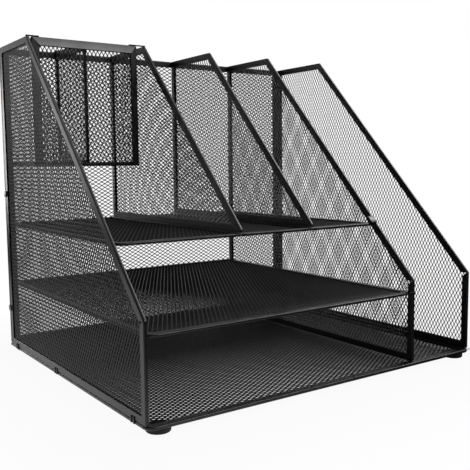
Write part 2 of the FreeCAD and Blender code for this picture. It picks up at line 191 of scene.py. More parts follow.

# %% [markdown]
# The coat on the channels and the coat on the mesh differ a little: strands are rougher, because powder
# gathers on their cut edges. One function makes both, and the rubber of the feet is the same idea with almost
# no painted fold highlight.

# %% Finishes
PEEL_DEPTH = 0.00012
PATCH_NOISE = (0.3, 0.7)
COAT_SPECULAR = 0.5
FRAME_BLACK = (0.0045, 0.0045, 0.0047, 1)
STRAND_BLACK = (0.0040, 0.0040, 0.0042, 1)
RUBBER_BLACK = (0.0060, 0.0060, 0.0060, 1)
# Lighter grey painted along the folds: a painted highlight, not wear.
FOLD_HIGHLIGHT_GREY = (0.018, 0.018, 0.0185, 1)
DUST_GREY = (0.036, 0.0355, 0.0345, 1)


def place_effect(tree, effect, coordinates):
    """A shared group in a material, fed with the piece's own coordinates."""
    node = add(tree, "ShaderNodeGroup", {"node_tree": EFFECTS[effect]})
    tree.links.new(coordinates, node.inputs["Place"])
    return node


def tinted(tree, base, tint, mask):
    """Colour that goes from base to tint by a mask; base is a colour or a socket."""
    mix = add(tree, "ShaderNodeMix", {"data_type": "RGBA"})
    sockets = [socket for socket in mix.inputs if socket.type == "RGBA"]
    if isinstance(base, tuple):
        sockets[0].default_value = base
    else:
        tree.links.new(base, sockets[0])
    sockets[1].default_value = tint
    tree.links.new(mask, mix.inputs["Factor"])
    return next(socket for socket in mix.outputs if socket.type == "RGBA")


def coated(name, colour, highlight_tint, dusty, rough_low, rough_high, relief, highlight_share, dust_share):
    """Coat of one colour with orange peel, a painted highlight along folds and dust, over a Principled
    shader.
    """
    material = bpy.data.materials.new(name)
    material.use_nodes = True
    tree = material.node_tree
    shader = tree.nodes["Principled BSDF"]
    place = add(tree, "ShaderNodeTexCoord").outputs["Object"]
    grain = place_effect(tree, "grain", place)
    fold_highlight = place_effect(tree, "fold_highlight", place)
    fold = add(tree, "ShaderNodeAttribute", {"attribute_name": "fold"})
    tree.links.new(fold.outputs["Fac"], fold_highlight.inputs["Fold"])
    dust = place_effect(tree, "dust", place)
    # Painted highlight: the coat goes lighter where the fold mask is, broken up by noise.
    highlighted = tinted(tree, colour, highlight_tint, ramp(tree, fold_highlight.outputs["Mask"], 0, 1, 0, highlight_share))
    dusted = tinted(tree, highlighted, dusty, ramp(tree, dust.outputs["Mask"], 0, 1, 0, dust_share))
    tree.links.new(dusted, shader.inputs["Base Color"])
    shader.inputs["Specular IOR Level"].default_value = COAT_SPECULAR
    tree.links.new(ramp(tree, grain.outputs["Patch"], *PATCH_NOISE, rough_low, rough_high),
                   shader.inputs["Roughness"])
    bump = add(tree, "ShaderNodeBump", Strength=relief, Distance=PEEL_DEPTH)
    tree.links.new(grain.outputs["Relief"], bump.inputs["Height"])
    tree.links.new(bump.outputs["Normal"], shader.inputs["Normal"])
    return material


finishes = {
    "frame_steel": coated("black_powder_coat", FRAME_BLACK, FOLD_HIGHLIGHT_GREY, DUST_GREY,
                          rough_low=0.28, rough_high=0.34, relief=0.35, highlight_share=0.7, dust_share=0.12),
    "mesh_steel": coated("black_coated_strands", STRAND_BLACK, FOLD_HIGHLIGHT_GREY, DUST_GREY,
                         rough_low=0.30, rough_high=0.38, relief=0.3, highlight_share=0.7, dust_share=0.10),
    "foot_rubber": coated("black_rubber", RUBBER_BLACK, FOLD_HIGHLIGHT_GREY, DUST_GREY,
                          rough_low=0.62, rough_high=0.78, relief=0.6, highlight_share=0.15, dust_share=0.2),
}
print("finishes", sorted(finishes))

# %% [markdown]
# A drawn sheet is flat, so every framed sheet is worked out in two flat coordinates and a thickness, and
# then stood up. These helpers read a sheet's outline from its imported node, turn flat coordinates into the
# model's frame, and put points and faces into a mesh whose faces point outwards.

# %% Flat coordinates and mesh building
TINY = 1e-5
X, Y, Z = 0, 1, 2
TURNS = {
    "flat": np.array(((1, 0, 0), (0, 1, 0), (0, 0, 1)), float),
    "side": np.array(((0, 1, 0), (0, 0, 1), (1, 0, 0)), float),
    "back": np.array(((1, 0, 0), (0, 0, 1), (0, -1, 0)), float),
}


def node_points(node):
    """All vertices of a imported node, in metres."""
    points = np.empty(len(nodes[node].data.vertices) * 3)
    nodes[node].data.vertices.foreach_get("co", points)
    return points.reshape(-1, 3)


def solid_boxes(node, axis, count):
    """Low and high corners of each of a node's solids: its points are sorted along an axis and split at the
    widest gaps, one fewer than the solids."""
    points = node_points(node)
    points = points[np.argsort(points[:, axis])]
    widest = np.argsort(np.diff(points[:, axis]))[::-1]
    breaks = np.sort(widest[:count - 1]) + 1
    return [(solid.min(axis=0), solid.max(axis=0)) for solid in np.split(points, breaks)]


def body_of(node):
    """The body that a node rides on."""
    return "pen_caddy" if node.startswith("caddy_") else "organizer"


def outward(points, faces):
    """Faces turned outwards: the signed volume, a sum of tetrahedra on the origin, is made positive."""
    corners = points[faces]
    volume = np.einsum("ij,ij->i", corners[:, 0], np.cross(corners[:, 1], corners[:, 2])).sum()
    volume += np.einsum("ij,ij->i", corners[:, 0], np.cross(corners[:, 2], corners[:, 3])).sum()
    return faces if volume > 0 else faces[:, ::-1]


def put_piece(name, node, points, faces, slot, fold=None, bake_map=None, smooth_below=None):
    """Mesh of quads in place of a node: it rides on the node's body and takes a finish by its slot."""
    faces = np.ascontiguousarray(faces, dtype=np.int32)
    mesh = bpy.data.meshes.new(name)
    mesh.vertices.add(len(points))
    mesh.vertices.foreach_set("co", points.astype(np.float32).ravel())
    mesh.loops.add(faces.size)
    mesh.loops.foreach_set("vertex_index", faces.ravel())
    mesh.polygons.add(len(faces))
    mesh.polygons.foreach_set("loop_start", np.arange(0, faces.size, 4, dtype=np.int32))
    mesh.update(calc_edges=True)
    if fold is not None:
        mesh.attributes.new("fold", "FLOAT", "POINT").data.foreach_set("value", fold.astype(np.float32))
    if bake_map is not None:
        mesh.uv_layers.new(name="OFBake").uv.foreach_set("vector", bake_map.astype(np.float32).ravel())
    mesh.polygons.foreach_set("use_smooth", np.full(len(faces), smooth_below is not None))
    if smooth_below is not None:
        mesh.set_sharp_from_angle(angle=smooth_below)
    piece = bpy.data.objects.new(name, mesh)
    scene.collection.objects.link(piece)
    mesh.materials.append(finishes[slot])
    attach(piece, body_of(node))
    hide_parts(node)
    return piece


# %% Outlines of the framed sheets
UPRIGHT_LEAST = 0.01
FRONT_ROUNDING = {"base": 0.008, "middle_shelf": 0.010, "top_shelf": 0.010}
FRAMED_SHEETS = {
    "base": "flat", "middle_shelf": "flat", "top_shelf": "flat",
    "left_panel": "side", "middle_panel": "side", "right_panel": "side",
    "left_divider": "side", "right_divider": "side", "back_panel": "back",
    "caddy_front": "back", "caddy_bottom": "flat", "caddy_divider": "side",
}


def flat_corners(node, turn_name):
    """Corners of a sheet's outline, anticlockwise in its flat coordinates: the box's corners, but a slanted
    front gives its top edge's front end and, where there is an upright front edge, that edge's upper end."""
    flat = node_points(node) @ TURNS[turn_name].T
    low, high = flat[:, :2].min(axis=0), flat[:, :2].max(axis=0)
    top_front = flat[flat[:, 1] > high[1] - TINY, 0].min()
    if top_front < low[0] + TINY:
        return np.array(((low[0], low[1]), (high[0], low[1]), (high[0], high[1]), (low[0], high[1])))
    bend = flat[flat[:, 0] < low[0] + TINY, 1].max()
    corners = [(low[0], low[1]), (high[0], low[1]), (high[0], high[1]), (top_front, high[1])]
    return np.array(corners + [(low[0], bend)] * (bend > low[1] + UPRIGHT_LEAST))


def flat_faces(node, turn_name):
    """The two levels, along a sheet's thickness, between which a node lies."""
    level = node_points(node) @ TURNS[turn_name][2]
    return level.min(), level.max()


print("panel outline", flat_corners("left_panel_frame", "side").round(4).tolist())

# %% [markdown]
# Each channel is strip steel folded into a U over the edge of its sheet. It could be cut from a block, but
# then its edges would be sharp and dead. Carrying a U-shaped profile round the outline gives the rounded
# folds that catch the light, the mitred seams in the legs at each corner, and the notch that opens where the
# strip of a side panel is bent.

# %% The channel's profile
LEG = 0.0065
WALL = 0.0008
FOLD_RADIUS = 0.0010
FOLD_STEPS = 4
TIP_ROUND = 0.00025
HOLD = 0.0003


def channel_profile(thickness):
    """U-profile as depth from the outer edge, height through the thickness, whether the depth is counted
    from the leg's tip, the seam's push, and the fold attribute. It goes tip, leg, quarter arc, web, quarter
    arc, leg, tip, inside."""
    arc = np.linspace(0, math.pi / 2, FOLD_STEPS + 1)
    fold_depth = FOLD_RADIUS * (1 - np.sin(arc))
    fold_height = FOLD_RADIUS * (1 - np.cos(arc))
    none = np.zeros(FOLD_STEPS + 1)
    half = np.array([
        np.r_[0, 0, -TIP_ROUND, FOLD_RADIUS + HOLD, fold_depth],
        np.r_[WALL, TIP_ROUND, 0, 0, fold_height],
        np.r_[1, 1, 1, 0, none],
        np.r_[0, 0, 1, 1, none],
        np.r_[0, 1, 1, 0, none + 1],
    ])
    other = half[:, ::-1].copy()
    other[1] = thickness - other[1]
    other[3] *= -1
    inside = np.array([[WALL, WALL], [thickness - WALL, WALL], [0, 0], [0, 0], [0, 0]])
    return np.concatenate([half, other, inside], axis=1)


# %% Carrying the profile round an outline
BEND_STEPS = 8
BEND_RADIUS = 0.0020
SEAM_HALF = 0.00025
SEAM_DEPTH = 0.00045
LEAD = 0.0006
NOTCH_ROOT = 0.0020
NOTCH_HALF = 0.0022


def offset_corners(corners, inward, depths):
    """Corners of the outline moved inwards by a depth for each side: where two moved sides cross."""
    before = np.roll(inward, 1, axis=0)
    pair = np.stack([before, inward], axis=1)
    level = np.einsum("nij,nj->ni", pair, corners)
    level = level + np.stack([np.roll(depths, 1, axis=-1), depths], axis=-1)
    return np.linalg.solve(pair, level[..., None])[..., 0]


def channel_points(corners, legs, flares, radii, notched, thickness):
    """Points of a channel round a closed outline, as profile points by stations. Each profile point's line
    is the outline moved inwards by that point's depth; at a corner it turns on an arc of the bend's radius
    less that depth, never less than half a seam, and a station stands a lead before and after the arc. At a
    seam the middle station is pushed into the leg; at a notch the leg's tip draws back to the notch's root;
    a flared side's upper leg opens at its tip."""
    depth, height, at_tip, push, fold = channel_profile(thickness)
    run = np.roll(corners, -1, axis=0) - corners
    along = run / np.linalg.norm(run, axis=1, keepdims=True)
    inward = np.stack([-along[:, 1], along[:, 0]], axis=1)
    before, inward_before = np.roll(along, 1, axis=0), np.roll(inward, 1, axis=0)
    turning = np.arccos(np.clip(np.einsum("ij,ij->i", before, along), -1, 1))
    depths = depth[:, None] + at_tip[:, None] * legs
    notch_depths = depth[:, None] + at_tip[:, None] * np.minimum(legs, NOTCH_ROOT)
    full = offset_corners(corners, inward, depths)
    cut = np.where(notched[:, None], offset_corners(corners, inward, notch_depths), full)

    def arc_points(sharp, share):
        """Points at a share of each corner's turn, on an arc that touches both sides of the sharp corner."""
        left = np.maximum(radii - np.minimum(depths, np.roll(depths, 1, axis=-1)), SEAM_HALF)[..., None]
        centre = sharp + left * (inward_before - before * np.tan(turning / 2)[:, None])
        angle = (turning * share)[:, None]
        return centre + left * (before * np.sin(angle) - inward_before * np.cos(angle))

    lead = np.where(notched, NOTCH_HALF, LEAD)[:, None]
    shares = np.linspace(0, 1, BEND_STEPS + 1)
    rows = [arc_points(full, 0) - before * lead]
    rows += [arc_points(cut, share) for share in shares]
    rows += [arc_points(full, 1) + along * lead]
    flat = np.stack(rows, axis=2)
    seamed = (radii <= BEND_RADIUS) & ~notched
    dent = np.zeros(flat.shape[:-1])
    dent[:, :, 1 + BEND_STEPS // 2] = SEAM_DEPTH * push[:, None] * seamed
    station = np.arange(flat.shape[2])
    opening = np.where(station <= 1 + BEND_STEPS // 2, np.roll(flares, 1)[:, None], flares[:, None])
    flared_tip = at_tip * (height > thickness / 2)
    level = height[:, None, None] + dent + flared_tip[:, None, None] * opening
    count = len(depth)
    return (np.concatenate([flat, level[..., None]], axis=-1).reshape(count, -1, 3),
            np.broadcast_to(fold[:, None], (count, flat.shape[1] * flat.shape[2])).ravel())


def grid_faces(rows, columns, wrap_rows=True, wrap_columns=True):
    """Quads between neighbours of a grid of points, closed round either way."""
    row, column = np.meshgrid(np.arange(rows - (not wrap_rows)), np.arange(columns - (not wrap_columns)),
                              indexing="ij")
    next_row, next_column = (row + 1) % rows, (column + 1) % columns
    return np.stack([row * columns + column, row * columns + next_column, next_row * columns + next_column,
                     next_row * columns + column], axis=-1).reshape(-1, 4)


# %% The channels of all framed sheets
CADDY_LEG = 0.0080
CADDY_RIGHT_LEG = 0.0066
CADDY_LOW_LEG = 0.0030
CADDY_DIVIDER_LEG = 0.0038
REAR_POST_LEG = 0.0092
OWN_LEGS = {
    "back_panel": (LEG, REAR_POST_LEG, LEG, REAR_POST_LEG),
    "caddy_front": (CADDY_LOW_LEG, CADDY_RIGHT_LEG, CADDY_LEG, CADDY_LEG),
    "caddy_divider": (CADDY_LEG, CADDY_DIVIDER_LEG, CADDY_LEG, CADDY_DIVIDER_LEG),
}
RIM_FLARE = 0.0012
OWN_FLARES = {"caddy_front": (0, 0, RIM_FLARE, 0)}
FRONT_CORNERS = 2
TOP_FRONT_CORNER, BEND_CORNER = 3, 4
SMOOTH_BELOW = math.radians(40)


def make_channel(sheet, turn_name):
    """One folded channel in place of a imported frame."""
    node = f"{sheet}_frame"
    corners = flat_corners(node, turn_name)
    low, high = flat_faces(node, turn_name)
    legs = np.array(OWN_LEGS.get(sheet, (LEG,) * len(corners)))
    radii = np.full(len(corners), BEND_RADIUS)
    radii[:FRONT_CORNERS] = FRONT_ROUNDING.get(sheet, BEND_RADIUS)
    notched = np.arange(len(corners)) == BEND_CORNER
    flares = np.array(OWN_FLARES.get(sheet, (0,) * len(corners)), float)
    points, fold = channel_points(corners, legs, flares, radii, notched, high - low)
    columns = points.shape[1]
    points = points.reshape(-1, 3) + (0, 0, low)
    points = points @ TURNS[turn_name]
    faces = outward(points, grid_faces(len(points) // columns, columns))
    return put_piece(f"{sheet}_channel", node, points, faces, "frame_steel", fold,
                     smooth_below=SMOOTH_BELOW)


channels = [make_channel(sheet, turn_name) for sheet, turn_name in FRAMED_SHEETS.items()]
print("channels", len(channels), "faces", sum(len(piece.data.polygons) for piece in channels))

# %% [markdown]
# Expanded mesh is a sheet that is slit and pulled open. What is left of it is rows of zigzag strands that
# join over short bonds at their tips, so the gaps are diamonds with blunt ends, and each strand is turned a
# little out of the sheet's plane. A picture of diamonds would look flat, so every strand here is real: a
# zigzag line with level tips that carries a small tilted rectangle. The base's strands are wider than the
# other sheets', and its diamonds a little longer across the short way.

# %% Strands
LONG_PITCH = 0.0072
SHORT_PITCH = 0.0041
BASE_SHORT_PITCH = 0.00445
STRAND_WIDTH = 0.00091
BASE_STRAND_WIDTH = 0.00135
STRAND_SHEET = 0.00025
KNUCKLE_SHARE = 0.30
BOND_SHARE = 0.24
SHEET_INSET = 0.0025


def strand_section(width, tilt):
    """Corners of a strand's section across the short way and through the thickness: a tilted rectangle."""
    across = np.array((-1, 1, 1, -1)) * width / 2
    through = np.array((-1, -1, 1, 1)) * STRAND_SHEET / 2
    return np.stack([across * math.cos(tilt) - through * math.sin(tilt),
                     across * math.sin(tilt) + through * math.cos(tilt)], axis=1)


def row_limits(corners, long_axis, places, inset):
    """Where each row enters and leaves the outline: every side, moved in by the inset, limits it one
    way."""
    run = np.roll(corners, -1, axis=0) - corners
    inward = np.stack([-run[:, 1], run[:, 0]], axis=1) / np.linalg.norm(run, axis=1, keepdims=True)
    level = np.einsum("ij,ij->i", inward, corners) + inset
    slope = inward[:, long_axis]
    with np.errstate(divide="ignore", invalid="ignore"):
        meet = (level - places[:, None] * inward[:, 1 - long_axis]) / slope
    start = np.where(slope > TINY, meet, -np.inf).max(axis=1)
    end = np.where(slope < -TINY, meet, np.inf).min(axis=1)
    return start, end


def chamfered(corners, rounding):
    """Outline with its first two corners cut off at the middle of their rounding."""
    if not rounding:
        return corners
    cut = rounding * (2 - math.sqrt(2))
    first, second = corners[0], corners[1]
    return np.array([first + (cut, 0), second - (cut, 0), second + (0, cut), *corners[2:],
                     first + (0, cut)])


def zigzag(phase, parity):
    """Side swing from -1 to 1: a triangle wave of period 2, made steeper and cut off so that its tips are
    level."""
    wave = 1 - 2 * np.abs((phase + parity) % 2 - 1)
    return np.clip(wave / (1 - BOND_SHARE), -1, 1)


def laid_rows(corners, long_axis, short_pitch, row_shares):
    """Rows of a sheet that are long enough, half a short pitch apart about the sheet's middle: their numbers,
    their places across the sheet, and where each enters and leaves the outline."""
    low, high = corners.min(axis=0)[1 - long_axis], corners.max(axis=0)[1 - long_axis]
    row_step = short_pitch / 2
    count = int((high - low - 2 * SHEET_INSET) / row_step)
    numbers = np.arange(count)
    places = (low + high) / 2 + (numbers - (count - 1) / 2) * row_step
    start, end = row_limits(corners, long_axis, places, SHEET_INSET)
    chosen = (numbers >= row_shares[0] * count) & (numbers < row_shares[1] * count)
    kept = (end - start > LONG_PITCH / 2) & chosen
    return numbers[kept], places[kept], start[kept], end[kept]


def strand_faces(used):
    """Four quads round every stretch between two used knots of a row, a cap at both ends of each row, and the
    stretches' rows and knots. Each used knot has four points, one for each corner of the section."""
    number = np.cumsum(used.ravel()).reshape(used.shape) - 1
    row, knot = np.nonzero(used[:, :-1] & used[:, 1:])
    corner = np.arange(4)
    turned = (corner + 1) % 4
    near = number[row, knot][:, None] * 4
    far = number[row, knot + 1][:, None] * 4
    sides = np.stack([near + corner, near + turned, far + turned, far + corner], axis=-1).reshape(-1, 4)
    ends = np.diff(np.pad(used, ((0, 0), (1, 1))).astype(int), axis=1)
    heads, tails = number[ends[:, :-1] > 0], number[ends[:, 1:] < 0]
    caps = np.concatenate([heads[:, None] * 4 + corner[::-1], tails[:, None] * 4 + corner])
    return sides, caps, row, knot


def strand_map(reach, row, knot, cap_count):
    """Bake map: each row is a band of four strips, one for each side of its strand, with the place along the
    row as the other coordinate, which goes from 0 to 1 with reach; all caps share one small square."""
    band = 1 / len(reach)
    across = (row[:, None] + np.arange(4) / 4) * band
    beside = across + band / 4
    here = np.broadcast_to(reach[row, knot][:, None], across.shape)
    there = np.broadcast_to(reach[row, knot + 1][:, None], across.shape)
    side_map = np.stack([here, across, here, beside, there, beside, there, across], axis=-1)
    cap_map = np.array(((0, 0), (band, 0), (band, band), (0, band)))
    return np.concatenate([side_map.reshape(-1, 4, 2), np.broadcast_to(cap_map, (cap_count, 4, 2))])


def strand_rows(corners, long_axis, short_pitch, width, tilt, row_shares):
    """Strands of one sheet, as points, faces and a bake map. Row k lies k half short pitches across the
    sheet and zigzags to either side by a quarter of the short pitch, less a share of the strand's width, out
    of step with its neighbours; each row has a knot at both ends of each bond and is cut off where it leaves
    the outline."""
    numbers, places, start, end = laid_rows(corners, long_axis, short_pitch, row_shares)
    origin, limit = corners.min(axis=0)[long_axis], corners.max(axis=0)[long_axis]
    knot_step = LONG_PITCH / 2
    tips = np.arange(math.ceil((limit - origin) / knot_step) + 1)
    knots = origin + (tips[:, None] + np.array((-0.5, 0.5)) * BOND_SHARE).ravel() * knot_step
    first = np.searchsorted(knots, start, side="right") - 1
    last = np.searchsorted(knots, end, side="left")
    order = np.arange(len(knots))
    used = (order >= first[:, None]) & (order <= last[:, None])
    reach = np.clip(knots, start[:, None], end[:, None])
    swing = short_pitch / 4 - KNUCKLE_SHARE * width
    side = zigzag((reach - origin) / knot_step, numbers[:, None]) * swing

    section = strand_section(width, tilt)
    points = np.zeros((*used.shape, 4, 3))
    points[..., long_axis] = reach[..., None]
    points[..., 1 - long_axis] = (places[:, None] + side)[..., None] + section[:, 0]
    points[..., Z] = section[:, 1]
    sides, caps, row, knot = strand_faces(used)
    bake_map = strand_map((reach - origin) / (limit - origin), row, knot, len(caps))
    return points[used].reshape(-1, 3), np.concatenate([sides, caps]), bake_map


# %% The mesh of every sheet
ALONG_FIRST, ALONG_SECOND = 0, 1
LEANING = math.radians(14)
SHELF_LEANING = math.radians(25)
BASE_LEANING = math.radians(10)
NET_WAYS = {
    "base": (ALONG_FIRST, BASE_SHORT_PITCH, BASE_STRAND_WIDTH, BASE_LEANING),
    "middle_shelf": (ALONG_SECOND, SHORT_PITCH, STRAND_WIDTH, SHELF_LEANING),
    "top_shelf": (ALONG_SECOND, SHORT_PITCH, STRAND_WIDTH, SHELF_LEANING),
    "left_panel": (ALONG_SECOND, SHORT_PITCH, STRAND_WIDTH, -LEANING),
    "middle_panel": (ALONG_SECOND, SHORT_PITCH, STRAND_WIDTH, LEANING),
    "right_panel": (ALONG_SECOND, SHORT_PITCH, STRAND_WIDTH, LEANING),
    "left_divider": (ALONG_FIRST, SHORT_PITCH, STRAND_WIDTH, LEANING),
    "right_divider": (ALONG_SECOND, SHORT_PITCH, STRAND_WIDTH, LEANING),
    "back_panel": (ALONG_FIRST, SHORT_PITCH, STRAND_WIDTH, LEANING),
    "caddy_front": (ALONG_SECOND, SHORT_PITCH, STRAND_WIDTH, LEANING),
    "caddy_bottom": (ALONG_FIRST, SHORT_PITCH, STRAND_WIDTH, SHELF_LEANING),
    "caddy_divider": (ALONG_SECOND, SHORT_PITCH, STRAND_WIDTH, LEANING),
}
WHOLE = {"": (0, 1)}
FIRST_SHARES, SECOND_SHARES = (0, 0.5), (0.5, 1)
HALVES = {
    "base": {"_front": FIRST_SHARES, "_rear": SECOND_SHARES},
    "back_panel": {"_lower": FIRST_SHARES, "_upper": SECOND_SHARES},
}


def make_strands(sheet, turn_name, part, row_shares):
    """The strands of one sheet, or of half a large one, in the middle of its channel."""
    node = f"{sheet}_mesh"
    corners = chamfered(flat_corners(f"{sheet}_frame", turn_name), FRONT_ROUNDING.get(sheet, 0))
    points, faces, bake_map = strand_rows(corners, *NET_WAYS[sheet], row_shares)
    points = points + (0, 0, sum(flat_faces(node, turn_name)) / 2)
    points = points @ TURNS[turn_name]
    turned = outward(points, faces)
    if turned is not faces:
        bake_map = bake_map[:, ::-1]
    return put_piece(f"{sheet}_strands{part}", node, points, turned, "mesh_steel", bake_map=bake_map)


strands = [make_strands(sheet, turn_name, part, row_shares) for sheet, turn_name in FRAMED_SHEETS.items()
           for part, row_shares in HALVES.get(sheet, WHOLE).items()]
print("strands", {piece.name: len(piece.data.polygons) for piece in strands})

# %% [markdown]
# The small fittings are stampings: tabs, clasps, hooks and the dividers' foot strips. A stamped plate has
# soft edges, so each is a ring with round corners, carried through the plate's thickness and drawn in by a
# quarter arc at both faces. The ends are closed with a ladder of quads between opposite points.

# %% Rounded plates
CORNER_STEPS = 3
QUARTER = np.linspace(0, math.pi / 2, CORNER_STEPS + 1)


def ladder(ring):
    """Quads that close a ring with an even count of points, between opposite points."""
    rung = np.arange(len(ring) // 2 - 1)
    across = len(ring) - 1 - rung
    return np.stack([ring[rung], ring[rung + 1], ring[across - 1], ring[across]], axis=1)


def loft(rings):
    """Points and quads of rings joined one to the next, with both ends closed."""
    rows, columns = rings.shape[:2]
    ring = np.arange(columns)
    faces = np.concatenate([grid_faces(rows, columns, wrap_rows=False), ladder(ring)[:, ::-1],
                            ladder(ring + (rows - 1) * columns)])
    points = rings.reshape(-1, 3)
    return points, outward(points, faces)


def round_corners(width, height, corner, insets):
    """Rings of a rectangle about the origin: each corner's centre, and round it a quarter circle of the
    corner's radius less each inset."""
    signs = np.array(((1, 1), (-1, 1), (-1, -1), (1, -1)))
    centres = signs * (np.array((width, height)) / 2 - corner)
    angles = np.arange(4)[:, None] * math.pi / 2 + QUARTER
    rims = np.stack([np.cos(angles), np.sin(angles)], axis=-1)
    rings = centres[:, None] + (corner - insets)[:, None, None, None] * rims
    return rings.reshape(len(insets), -1, 2)


def plate_rings(low, high, through, edge, corner):
    """Rings of a plate between two corners, through its thickness, with quarter arcs of the edge's
    radius."""
    flat = [axis for axis in range(3) if axis != through]
    size, middle = high - low, (low + high) / 2
    inset, rise = edge * (1 - np.sin(QUARTER)), edge * (1 - np.cos(QUARTER))
    insets = np.r_[inset, inset[::-1]]
    rings = np.empty((len(insets), 4 * len(QUARTER), 3))
    rings[..., flat] = round_corners(size[flat[0]], size[flat[1]], corner, insets) + middle[flat]
    rings[..., through] = np.r_[low[through] + rise, high[through] - rise[::-1]][:, None]
    return rings


def joined(parts):
    """Several lofts as one mesh: their points in a row, and their faces counted on."""
    counts = np.cumsum([0] + [len(points) for points, faces in parts])
    return (np.concatenate([points for points, faces in parts]),
            np.concatenate([faces + shift for (points, faces), shift in zip(parts, counts)]))


# %% Tabs, clasps, hooks and foot strips
PLATES = {
    "left_panel_tabs": (X, Y, 6), "right_panel_tabs": (X, Y, 6),
    "back_panel_left_clasps": (X, Z, 2), "back_panel_right_clasps": (X, Z, 2),
    "divider_foot_hooks": (Y, X, 2), "middle_shelf_hook": (Y, X, 1),
    "left_divider_foot_strip": (Z, X, 1), "right_divider_foot_strip": (Z, X, 1),
    "caddy_side_tabs": (Z, X, 2),
}
EDGE_SHARE = 0.35
CORNER_SHARE = 0.30


def make_plates(node, through, apart, count):
    """Rounded plates in place of a node's solids, so many of them, which lie apart along one axis."""
    parts = []
    for low, high in solid_boxes(node, apart, count):
        size = high - low
        edge = EDGE_SHARE * size[through]
        corner = max(CORNER_SHARE * np.delete(size, through).min(), edge)
        parts.append(loft(plate_rings(low, high, through, edge, corner)))
    points, faces = joined(parts)
    return put_piece(f"{node}_stamped", node, points, faces, "frame_steel", smooth_below=SMOOTH_BELOW)


plates = [make_plates(node, *row) for node, row in PLATES.items()]
print("plates", {piece.name: len(piece.data.polygons) for piece in plates})

# %% [markdown]
# Two hooks aren't plain plates. The top shelf's hook lies on the slant of the middle panel, so its plate is
# made level and then leant back. The caddy's rear hook is bent over the back panel: a rounded section carried
# along a straight run, a quarter bend and a drop.

# %% The slanted hook and the bent hook
HOOK_SHEET = 0.0010
HOOK_BEND_PER_SHEET = 1.5


def make_slanted_hook(node, panel_node):
    """Plate on a panel's slanted edge: made with its face level, then turned to the slant."""
    corners = flat_corners(panel_node, "side")
    slant = math.atan2(*(corners[TOP_FRONT_CORNER] - corners[BEND_CORNER])[::-1])
    across = np.array((math.cos(slant), math.sin(slant)))
    through = np.array((-math.sin(slant), math.cos(slant)))
    points = node_points(node)
    along, out = points[:, 1:] @ across, points[:, 1:] @ through
    low = np.array((points[:, X].min(), along.min(), out.min()))
    high = np.array((points[:, X].max(), along.max(), out.max()))
    edge = EDGE_SHARE * (high - low)[Z]
    rings = plate_rings(low, high, Z, edge, edge)
    leant = rings[..., 1:2] * across + rings[..., 2:3] * through
    hook, faces = loft(np.concatenate([rings[..., :1], leant], axis=-1))
    return put_piece(f"{node}_stamped", node, hook, faces, "frame_steel", smooth_below=SMOOTH_BELOW)


def make_bent_hook(node, sheet):
    """Strip over the back panel: its middle line runs level, turns down on a quarter circle and drops; the
    section is a rounded rectangle, drawn in at the strip's ends."""
    low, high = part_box(node)
    low, high = np.array(low), np.array(high)
    turn = HOOK_BEND_PER_SHEET * sheet
    heading = np.r_[0, 0, QUARTER, QUARTER[-1], QUARTER[-1]]
    rear, top = high[Y] - sheet / 2, high[Z] - sheet / 2
    ease = EDGE_SHARE * sheet
    back = np.r_[low[Y], low[Y] + ease, rear - turn + turn * np.sin(QUARTER), rear, rear]
    level = np.r_[top, top, top - turn + turn * np.cos(QUARTER), low[Z] + ease, low[Z]]
    insets = np.r_[ease / 2, np.zeros(len(back) - 2), ease / 2]
    section = round_corners(high[X] - low[X], sheet, ease, insets)
    rings = np.empty((len(back), section.shape[1], 3))
    rings[..., X] = (low[X] + high[X]) / 2 + section[..., 0]
    rings[..., Y] = back[:, None] + section[..., 1] * np.sin(heading)[:, None]
    rings[..., Z] = level[:, None] + section[..., 1] * np.cos(heading)[:, None]
    points, faces = loft(rings)
    return put_piece(f"{node}_bent", node, points, faces, "frame_steel", smooth_below=SMOOTH_BELOW)


hooks = [make_slanted_hook("top_shelf_hook", "middle_panel_frame"),
         make_bent_hook("caddy_rear_hook", HOOK_SHEET)]
print("hooks", [piece.name for piece in hooks])

# %% [markdown]
# The feet are moulded rubber pads: a profile turned about an upright axis, with a round lower edge, a flat
# ring that stands on the desk and a shallow hollow inside it.

# %% Rubber feet
FOOT_STEPS = 48
FOOT_ROUND = 0.0012
FOOT_HOLLOW_SHARE = 0.62
FOOT_HOLLOW_DEPTH = 0.0006


def make_foot(node):
    """Profile of radius and height turned round: side, quarter arc, standing ring, hollow."""
    low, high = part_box(node)
    radius = (high[X] - low[X]) / 2
    arc_radius = radius - FOOT_ROUND * (1 - np.cos(QUARTER))
    arc_height = FOOT_ROUND * (1 - np.sin(QUARTER))
    hollow = FOOT_HOLLOW_SHARE * radius
    radii = np.r_[radius, arc_radius, hollow, hollow - FOOT_HOLLOW_DEPTH]
    heights = np.r_[high[Z] - low[Z], arc_height, 0, FOOT_HOLLOW_DEPTH]
    angle = np.arange(FOOT_STEPS) / FOOT_STEPS * 2 * math.pi
    rings = np.empty((len(radii), FOOT_STEPS, 3))
    rings[..., X] = (low[X] + high[X]) / 2 + radii[:, None] * np.cos(angle)
    rings[..., Y] = (low[Y] + high[Y]) / 2 + radii[:, None] * np.sin(angle)
    rings[..., Z] = low[Z] + heights[:, None]
    points, faces = loft(rings)
    return put_piece(f"{node}_pad", node, points, faces, "foot_rubber", smooth_below=SMOOTH_BELOW)


feet = [make_foot(node) for node in nodes if node.startswith("foot_")]
print("feet", len(feet))
